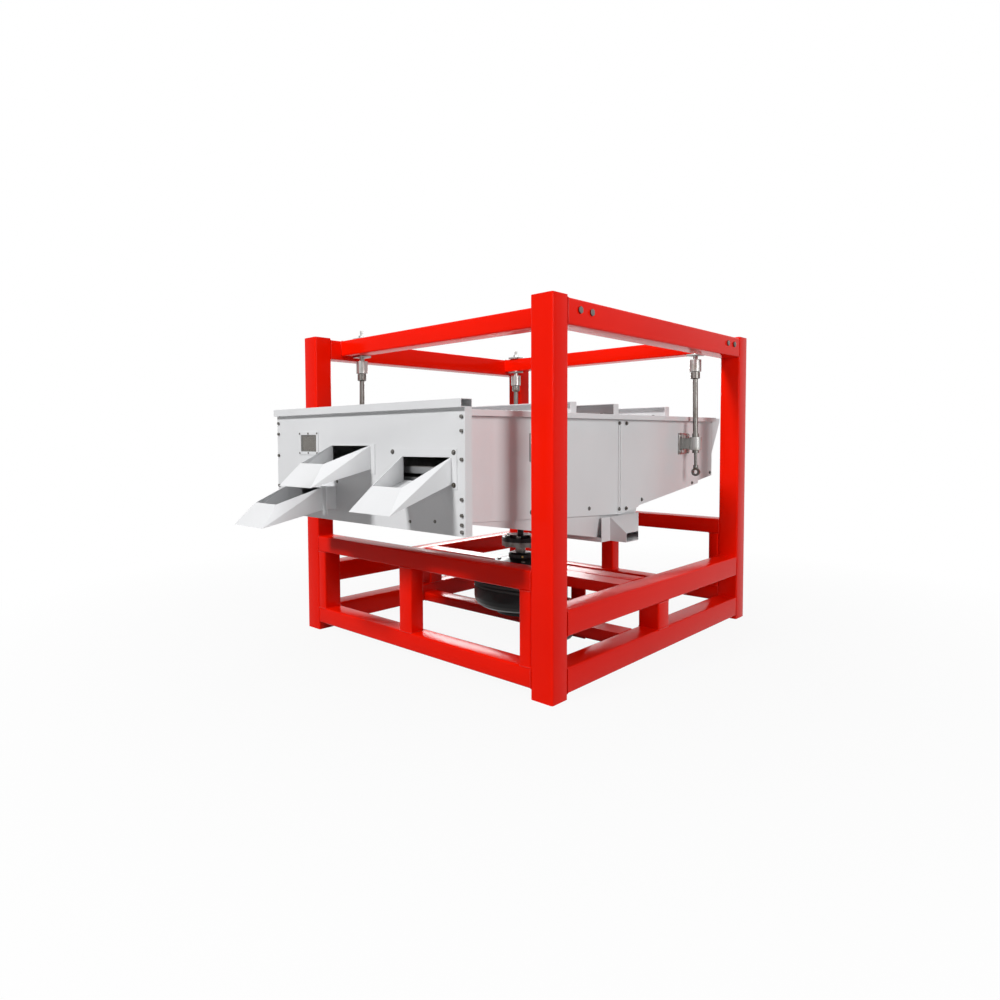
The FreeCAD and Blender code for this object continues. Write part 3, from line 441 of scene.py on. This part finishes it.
# Hangers: turned steel sockets, rods and clamps, with fine tool marks running round
# them. Sockets and clamps are freshly plated; the ring at each rod's foot is greasy.
plate = plated("fresh_zinc", rgb(0.38, 0.375, 0.365), rgb(0.22, 0.20, 0.175), 0.22, 22.0)
softened("hanger_sockets", plate, "frame")
softened("rod_clamps", plate, "sieve_box", 0.0012)
softened("cross_rail_bolts", steel, "frame")
softened("face_bolts", steel, "sieve_box", 0.0006)
paint(steel, "main_shaft", "shaft_disc", "coupling_bolts", "hanger_rod_front_right", "hanger_rod_front_left",
      "hanger_rod_rear_right", "hanger_rod_rear_left")
greasy, shader, place = finish("greasy_steel")
stain = noise(place, 90.0, 5.0)
drive(shader, "Base Color", stain.mix(rgb(0.07, 0.035, 0.018), rgb(0.20, 0.12, 0.07)))
drive(shader, "Metallic", 0.7)
drive(shader, "Roughness", 0.35 + stain * 0.25)
drive(shader, "Normal", bump(stain, 0.3, 0.0006))
ring_radius, ring_wire, ring_height, eye_height = 0.0165, 0.0058, 0.0225, 0.04
for corner in ("front_right", "front_left", "rear_right", "rear_left"):
    rod = "hanger_rod_" + corner
    foot_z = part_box(rod)[0].z
    lowest = [point.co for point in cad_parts[rod].data.vertices if point.co.z < foot_z + eye_height]
    centre = sum(lowest, Vector()) / len(lowest)
    only()
    bpy.ops.mesh.primitive_torus_add(major_segments=28, minor_segments=10,
                                     major_radius=ring_radius, minor_radius=ring_wire,
                                     location=(centre.x, centre.y, foot_z + ring_height),
                                     rotation=(math.pi / 2, 0, 0))
    bpy.ops.object.mode_set(mode="EDIT")
    choose("FACE", lambda face: face.calc_center_median().xy.length > ring_radius + 0.003)
    bpy.ops.mesh.inset(thickness=0.0008)
    bpy.ops.object.mode_set(mode="OBJECT")
    settle("rod_ring_" + corner, greasy, rod, 40)

# Sieve box: folded steel sheet sprayed gloss white. Panels are flat with a faint
# waviness, edges are broken, and the coat runs a little greyer in places.
white, shader, place = finish("white_enamel")
waves = noise(place, 1.6, 1.0)
film = noise(place, 2.6, 4.0).between(0.35, 0.75)
speck = noise(place, 380.0, 2.0).between(0.72, 0.78)
peel = noise(place, 260.0, 1.0)
base = film.mix(rgb(0.72, 0.725, 0.735), rgb(0.67, 0.675, 0.685))
base = (speck * 0.2).mix(base, rgb(0.42, 0.41, 0.40))
drive(shader, "Base Color", base)
drive(shader, "Roughness", 0.30 + film * 0.08)
drive(shader, "Normal", bump(peel * 0.02 + waves, 0.12, 0.006))
drive(shader, "Coat Weight", 0.15)
drive(shader, "Coat Roughness", 0.08)
drive(shader, "Specular IOR Level", 0.4)
for name in ("front_face", "feed_hopper", "top_cover", "cover_ribs", "fines_spout", "spout_one", "spout_two",
             "spout_three", "spout_neck", "seam_strips", "window_frame"):
    softened(name, white, "sieve_box", 0.001, 12)
paint(white, "side_panels_right", "side_panels_left", "rear_wall", "bottom_pan", "box_drive_beam")


# Lip back: the top of the front face is folded into a hollow hem, closed along its
# back by the last fold and left open at both ends.
def block(place, size):
    """Takes in hand a plain block, open in edit mode."""
    only()
    bpy.ops.mesh.primitive_cube_add(size=1, location=place)
    bpy.context.object.scale = size
    bpy.ops.object.transform_apply(scale=True)
    bpy.ops.object.mode_set(mode="EDIT")


fold_thickness, fold_height = 0.0028, 0.0285
fold_inset, fold_drop = 0.0015, 0.0165
low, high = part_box("front_face")
block(((low.x + high.x) / 2, high.y - fold_inset, high.z - fold_drop),
      (high.x - low.x, fold_thickness, fold_height))
choose("EDGE", lambda edge: abs(heading(edge).x) > 0.9)
bpy.ops.mesh.bevel(offset=fold_thickness / 4, segments=2, affect="EDGES")
bpy.ops.object.mode_set(mode="OBJECT")
settle("lip_back", white, "sieve_box", 30)

# Seam bars: a rounded bar riveted down the middle of each seam strip, which covers
# the joint between the two lengths of a side.
bar_thickness, bar_width, bar_rounding = 0.005, 0.017, 0.0028
bar_rise, bar_end_gap = 0.001, 0.006
low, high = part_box("seam_strips")
middle = (low + high) / 2
for side, x, way in (("right", x_right, 1), ("left", x_left, -1)):
    block((x + way * (sheet + bar_rise), middle.y, middle.z),
          (bar_thickness, bar_width, high.z - low.z - 2 * bar_end_gap))
    bpy.ops.mesh.select_all(action="SELECT")
    bpy.ops.mesh.bevel(offset=bar_rounding, segments=3, affect="EDGES")
    bpy.ops.object.mode_set(mode="OBJECT")
    settle("seam_bar_" + side, white, "sieve_box", 40)

# Hopper seams: the hopper's cheeks butt against the side panels, and each joint is
# run with a thin bead of weld and sprayed over.
seam_radius, seam_end_gap = 0.0016, 0.002
low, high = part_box("feed_hopper")
for side, x in (("right", x_right), ("left", x_left)):
    only()
    bpy.ops.mesh.primitive_cylinder_add(vertices=10, radius=seam_radius,
                                        depth=high.z - low.z - 2 * seam_end_gap,
                                        location=(x, low.y, (low.z + high.z) / 2))
    bpy.ops.object.mode_set(mode="EDIT")
    choose("FACE", lambda face: abs(face.normal.z) > 0.9)
    bpy.ops.mesh.inset(thickness=0.0005)
    bpy.ops.object.mode_set(mode="OBJECT")
    settle("hopper_seam_" + side, white, "sieve_box", 40)

# Rib screws: plated hexagon screws through the lower flange of each cover rib, five
# along each, hold it down on the cover.
box_half_length = 1.17
box_x, box_y = (x_right + x_left) / 2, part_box("side_panels_right")[0].y + box_half_length
flange_middle, flange_top = 0.006, 1.101
spots = [((box_x + x, y + box_y - flange_middle, flange_top), (0, 0, 1))
         for y in (-0.397, -0.042, 0.470) for x in (-0.46, -0.23, 0.0, 0.23, 0.46)]
copies(screw(panel_head, panel_head_height), spots)
settle("rib_screws", steel, "sieve_box")

# Inspection window: a clear pane, a little hazy with dust, held in the screwed frame,
# with wire cloth close behind it.
glass, shader, place = finish("window_pane")
haze = noise(place, 60.0, 4.0)
drive(shader, "Base Color", haze.mix(rgb(0.42, 0.41, 0.39), rgb(0.32, 0.31, 0.29)))
drive(shader, "Roughness", 0.10 + haze * 0.10)
drive(shader, "Alpha", 0.25)
drive(shader, "IOR", 1.5)
paint(glass, "window_glass")
wire, shader, place = finish("wire_cloth")
dull = noise(place, 120.0, 3.0)
drive(shader, "Base Color", dull.mix(rgb(0.16, 0.13, 0.10), rgb(0.26, 0.225, 0.185)))
drive(shader, "Metallic", 0.8)
drive(shader, "Roughness", 0.40 + dull * 0.2)
wires_across, wires_up, wire_width = 46, 29, 0.0011
cloth_gap, cloth_margin = 0.006, 0.008
low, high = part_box("window_glass")
only()
bpy.ops.mesh.primitive_grid_add(x_subdivisions=wires_across, y_subdivisions=wires_up, size=1,
                                location=((low.x + high.x) / 2, high.y + cloth_gap, (low.z + high.z) / 2),
                                rotation=(math.pi / 2, 0, 0))
bpy.context.object.scale = (high.x - low.x + cloth_margin, high.z - low.z + cloth_margin, 1)
bpy.ops.object.transform_apply(scale=True)
apply("WIREFRAME", thickness=wire_width, use_replace=True)
settle("window_cloth", wire, "sieve_box", 30)

# Decks: bar frames of mill-finish aluminium that lean forward in the box, each with
# its wire cloth drawn over it and folded down at the edges.
tilt = math.radians(4)
bar_height, cloth_fold, cloth_rise, edge_gap = 0.024, 0.006, 0.0135, 0.01
mill, shader, place = finish("mill_aluminium")
draw = place.node("ShaderNodeMapping", {}, place, Scale=(1.0, 0.05, 1.0))
lines = noise(draw, 240.0, 4.0)
drive(shader, "Base Color", lines.mix(rgb(0.36, 0.365, 0.37), rgb(0.48, 0.485, 0.49)))
drive(shader, "Metallic", 1.0)
drive(shader, "Roughness", 0.38 + lines * 0.15)
drive(shader, "Normal", bump(lines, 0.15, 0.0004))
paint(mill, "sieve_deck_upper", "sieve_deck_middle", "sieve_deck_lower")
cloth, shader, place = finish("deck_cloth")
threads = place.node("ShaderNodeTexWave", {"bands_direction": "X"}, place, Scale=70.0)
cross = place.node("ShaderNodeTexWave", {"bands_direction": "Y"}, place, Scale=70.0)
drive(shader, "Base Color", (threads * cross).mix(rgb(0.22, 0.21, 0.20), rgb(0.42, 0.41, 0.40)))
drive(shader, "Metallic", 0.7)
drive(shader, "Roughness", 0.42 + threads * 0.15)
drive(shader, "Normal", bump(threads + cross, 0.4, 0.0008))
for name in ("upper", "middle", "lower"):
    low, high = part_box("sieve_deck_" + name)
    length = (high.y - low.y - bar_height * math.sin(tilt)) / math.cos(tilt)
    only()
    bpy.ops.mesh.primitive_grid_add(x_subdivisions=8, y_subdivisions=16, size=1)
    bpy.context.object.scale = (high.x - low.x - edge_gap, length - edge_gap, 1)
    bpy.ops.object.transform_apply(scale=True)
    bpy.ops.object.mode_set(mode="EDIT")
    choose("EDGE", lambda edge: edge.is_boundary)
    bpy.ops.mesh.extrude_region_move(TRANSFORM_OT_translate={"value": (0, 0, -cloth_fold)})
    bpy.ops.object.mode_set(mode="OBJECT")
    bpy.context.object.rotation_euler = (tilt, 0, 0)
    bpy.context.object.location = (low + high) / 2 + Vector((0, -math.sin(tilt), math.cos(tilt))) * cloth_rise
    settle("deck_cloth_" + name, cloth, "sieve_box", 30)

# Drive: the bearings, wheel, pulley and crank are grey iron castings under a thin
# black coat, machined where they meet.
iron, shader, place = finish("black_iron")
sand = noise(place, 260.0, 4.0)
blotch = noise(place, 14.0, 4.0).between(0.4, 0.8)
drive(shader, "Base Color", blotch.mix(rgb(0.006, 0.006, 0.0065), rgb(0.016, 0.015, 0.0145)))
drive(shader, "Roughness", 0.30 + blotch * 0.16)
drive(shader, "Normal", bump(sand, 0.25, 0.0006))
drive(shader, "Coat Weight", 0.08)
drive(shader, "Specular IOR Level", 0.15)
paint(iron, "foot_bearing", "top_bearing", "belt_wheel", "crank_flange", "crank_bearing", "motor_pulley")

# Grease nipples: one screwed into the side of the top bearing and one into the crank
# bearing, brass, with a hexagon foot and a narrow tip.
brass, shader, place = finish("nipple_brass")
tarnish = noise(place, 200.0, 3.0)
drive(shader, "Base Color", tarnish.mix(rgb(0.62, 0.42, 0.14), rgb(0.40, 0.28, 0.12)))
drive(shader, "Metallic", 1.0)
drive(shader, "Roughness", 0.28 + tarnish * 0.2)
nipple_way = Vector((0.72, -0.69, 0))
for node, body, height, reach in (("top_bearing", "frame", 0.030, 0.062),
                                  ("crank_bearing", "sieve_box", 0.034, 0.045)):
    low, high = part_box(node)
    middle = (low + high) / 2
    only()
    bpy.ops.mesh.primitive_cylinder_add(vertices=6, radius=0.0055, depth=0.006, location=(0, 0, 0.003))
    bpy.ops.object.mode_set(mode="EDIT")
    choose("FACE", lambda face: face.normal.z > 0.9)
    for shoulder, rise in ((0.0022, 0.006), (0.0008, 0.003)):
        bpy.ops.mesh.inset(thickness=shoulder)
        bpy.ops.mesh.extrude_region_move(TRANSFORM_OT_translate={"value": (0, 0, rise)})
    bpy.ops.object.mode_set(mode="OBJECT")
    foot = Vector((middle.x, middle.y, low.z + height)) + nipple_way * reach
    copies(bpy.context.object, [(foot, nipple_way)])
    settle("grease_nipple_" + node.split("_")[0], brass, body, 40)

# Motor: ribbed aluminium body under a dark grey coat, with cast fins round it, except
# where its feet are, and a terminal box on its side.
grey, shader, place = finish("motor_grey")
soft = noise(place, 40.0, 4.0)
drive(shader, "Base Color", soft.mix(rgb(0.06, 0.07, 0.08), rgb(0.10, 0.11, 0.12)))
drive(shader, "Roughness", 0.42 + soft * 0.14)
drive(shader, "Normal", bump(soft, 0.15, 0.0008))
paint(grey, "motor")
motor_x, motor_y = 0.320, -0.230
fin_thickness, fin_length, fin_height = 0.004, 0.084, 0.012
fin_middle_z, fin_foot_radius = 0.132, 0.0795
block((0, 0, fin_height / 2), (fin_thickness, fin_length, fin_height))
choose("FACE", lambda face: face.normal.z > 0.9)
bpy.ops.transform.resize(value=(0.5, 0.94, 1))
bpy.ops.object.mode_set(mode="OBJECT")
spots = []
for degrees in range(0, 360, 10):
    if not 40 < degrees < 140:
        way = Vector((math.cos(math.radians(degrees)), math.sin(math.radians(degrees)), 0))
        spots.append((Vector((motor_x, motor_y, fin_middle_z)) + way * fin_foot_radius, way))
copies(bpy.context.object, spots, 0)
settle("motor_fins", grey, "frame", 30)
terminal_size, terminal_reach, terminal_z = (0.085, 0.03, 0.075), 0.083, 0.135
block((motor_x, motor_y - terminal_reach, terminal_z), terminal_size)
choose("EDGE", lambda edge: abs(heading(edge).y) > 0.9)
bpy.ops.mesh.bevel(offset=0.008, segments=3, affect="EDGES")
choose("FACE", lambda face: face.normal.y < -0.9)
bpy.ops.mesh.inset(thickness=0.003)
bpy.ops.mesh.extrude_region_move(TRANSFORM_OT_translate={"value": (0, -0.003, 0)})
bpy.ops.object.mode_set(mode="OBJECT")
settle("terminal_box", grey, "frame", 30)

# Belts: three V-belts of black rubber, moulded, with a woven cover that has worn grey
# on the flanks.
rubber, shader, place = finish("belt_rubber")
weave = noise(place, 700.0, 2.0)
drive(shader, "Base Color", weave.mix(rgb(0.010, 0.010, 0.010), rgb(0.030, 0.029, 0.028)))
drive(shader, "Roughness", 0.75 + weave * 0.15)
drive(shader, "Normal", bump(weave, 0.3, 0.0004))
paint(rubber, "belts")


# Floor: plain grey under the lamps. The camera, metal and glass see it nearly white,
# with the machine's shadow faint on it near by and gone further off.
def looked_at(tree):
    """1 for rays that the camera, metal or glass sends out, 0 for the rest."""
    direct, glossy, through = [Value(tree, None).node("ShaderNodeLightPath", {}, pick=k) for k in (0, 3, 6)]
    return (direct + glossy + through).clamp()


whiteness, shadow_share, shadow_near, shadow_far = 0.93, 0.07, 1.0, 3.2
sweep, shader, place = finish("studio_white")
drive(shader, "Base Color", rgb(0.32, 0.32, 0.32))
drive(shader, "Roughness", 0.9)
drive(shader, "Specular IOR Level", 0.1)
seen = looked_at(sweep.node_tree)
glow = place.node("ShaderNodeEmission", {}, rgb(1.0, 1.0, 1.0), 1.0)
distance = place.node("ShaderNodeVectorMath", {"operation": "LENGTH"}, place, pick=1)
apart = distance.between(shadow_near, shadow_far)
blend = place.node("ShaderNodeMixShader", {}, seen * (whiteness + apart * shadow_share),
                   Value(sweep.node_tree, shader.outputs[0]), glow)
surface = next(node for node in sweep.node_tree.nodes if node.type == "OUTPUT_MATERIAL")
sweep.node_tree.links.new(blend.socket, surface.inputs["Surface"])
only()
bpy.ops.mesh.primitive_plane_add(size=60, location=(0, 0, 0))
floor = bpy.context.object
floor.name = "floor"
floor.data.materials.append(sweep)

# Light: a dim even room, which the camera sees white, a small strong lamp high before
# the front, and softer ones to the right, at the back and overhead.
room = 0.10
world = bpy.data.worlds.new("studio")
bpy.context.scene.world = world
world.use_nodes = True
background = next(node for node in world.node_tree.nodes if node.type == "BACKGROUND")
background.inputs["Color"].default_value = rgb(1, 1, 1)
strength = room + looked_at(world.node_tree) * (1 - room)
world.node_tree.links.new(strength.socket, background.inputs["Strength"])


def lamp(name, place, aim, size, watts):
    light = bpy.data.lights.new(name, "AREA")
    light.shape = "RECTANGLE"
    light.size, light.size_y = size
    light.energy = watts
    piece = bpy.data.objects.new(name, light)
    bpy.context.collection.objects.link(piece)
    way = Vector(aim) - Vector(place)
    piece.matrix_world = Matrix.Translation(place) @ way.to_track_quat("-Z", "Y").to_matrix().to_4x4()


lamp("key", (-0.6, -8.3, 6.1), (0, -0.4, 0.8), (1.2, 1.2), 680)
lamp("fill", (5.5, -1.2, 2.6), (0, 0, 0.8), (2.5, 2.5), 162)
lamp("top", (0.0, 0.0, 5.5), (0, 0, 0.6), (3.5, 3.5), 62)
lamp("back", (-4.2, 5.0, 2.8), (0, 0, 0.8), (2.5, 2.5), 190)

bpy.context.scene.view_settings.view_transform = "Standard"
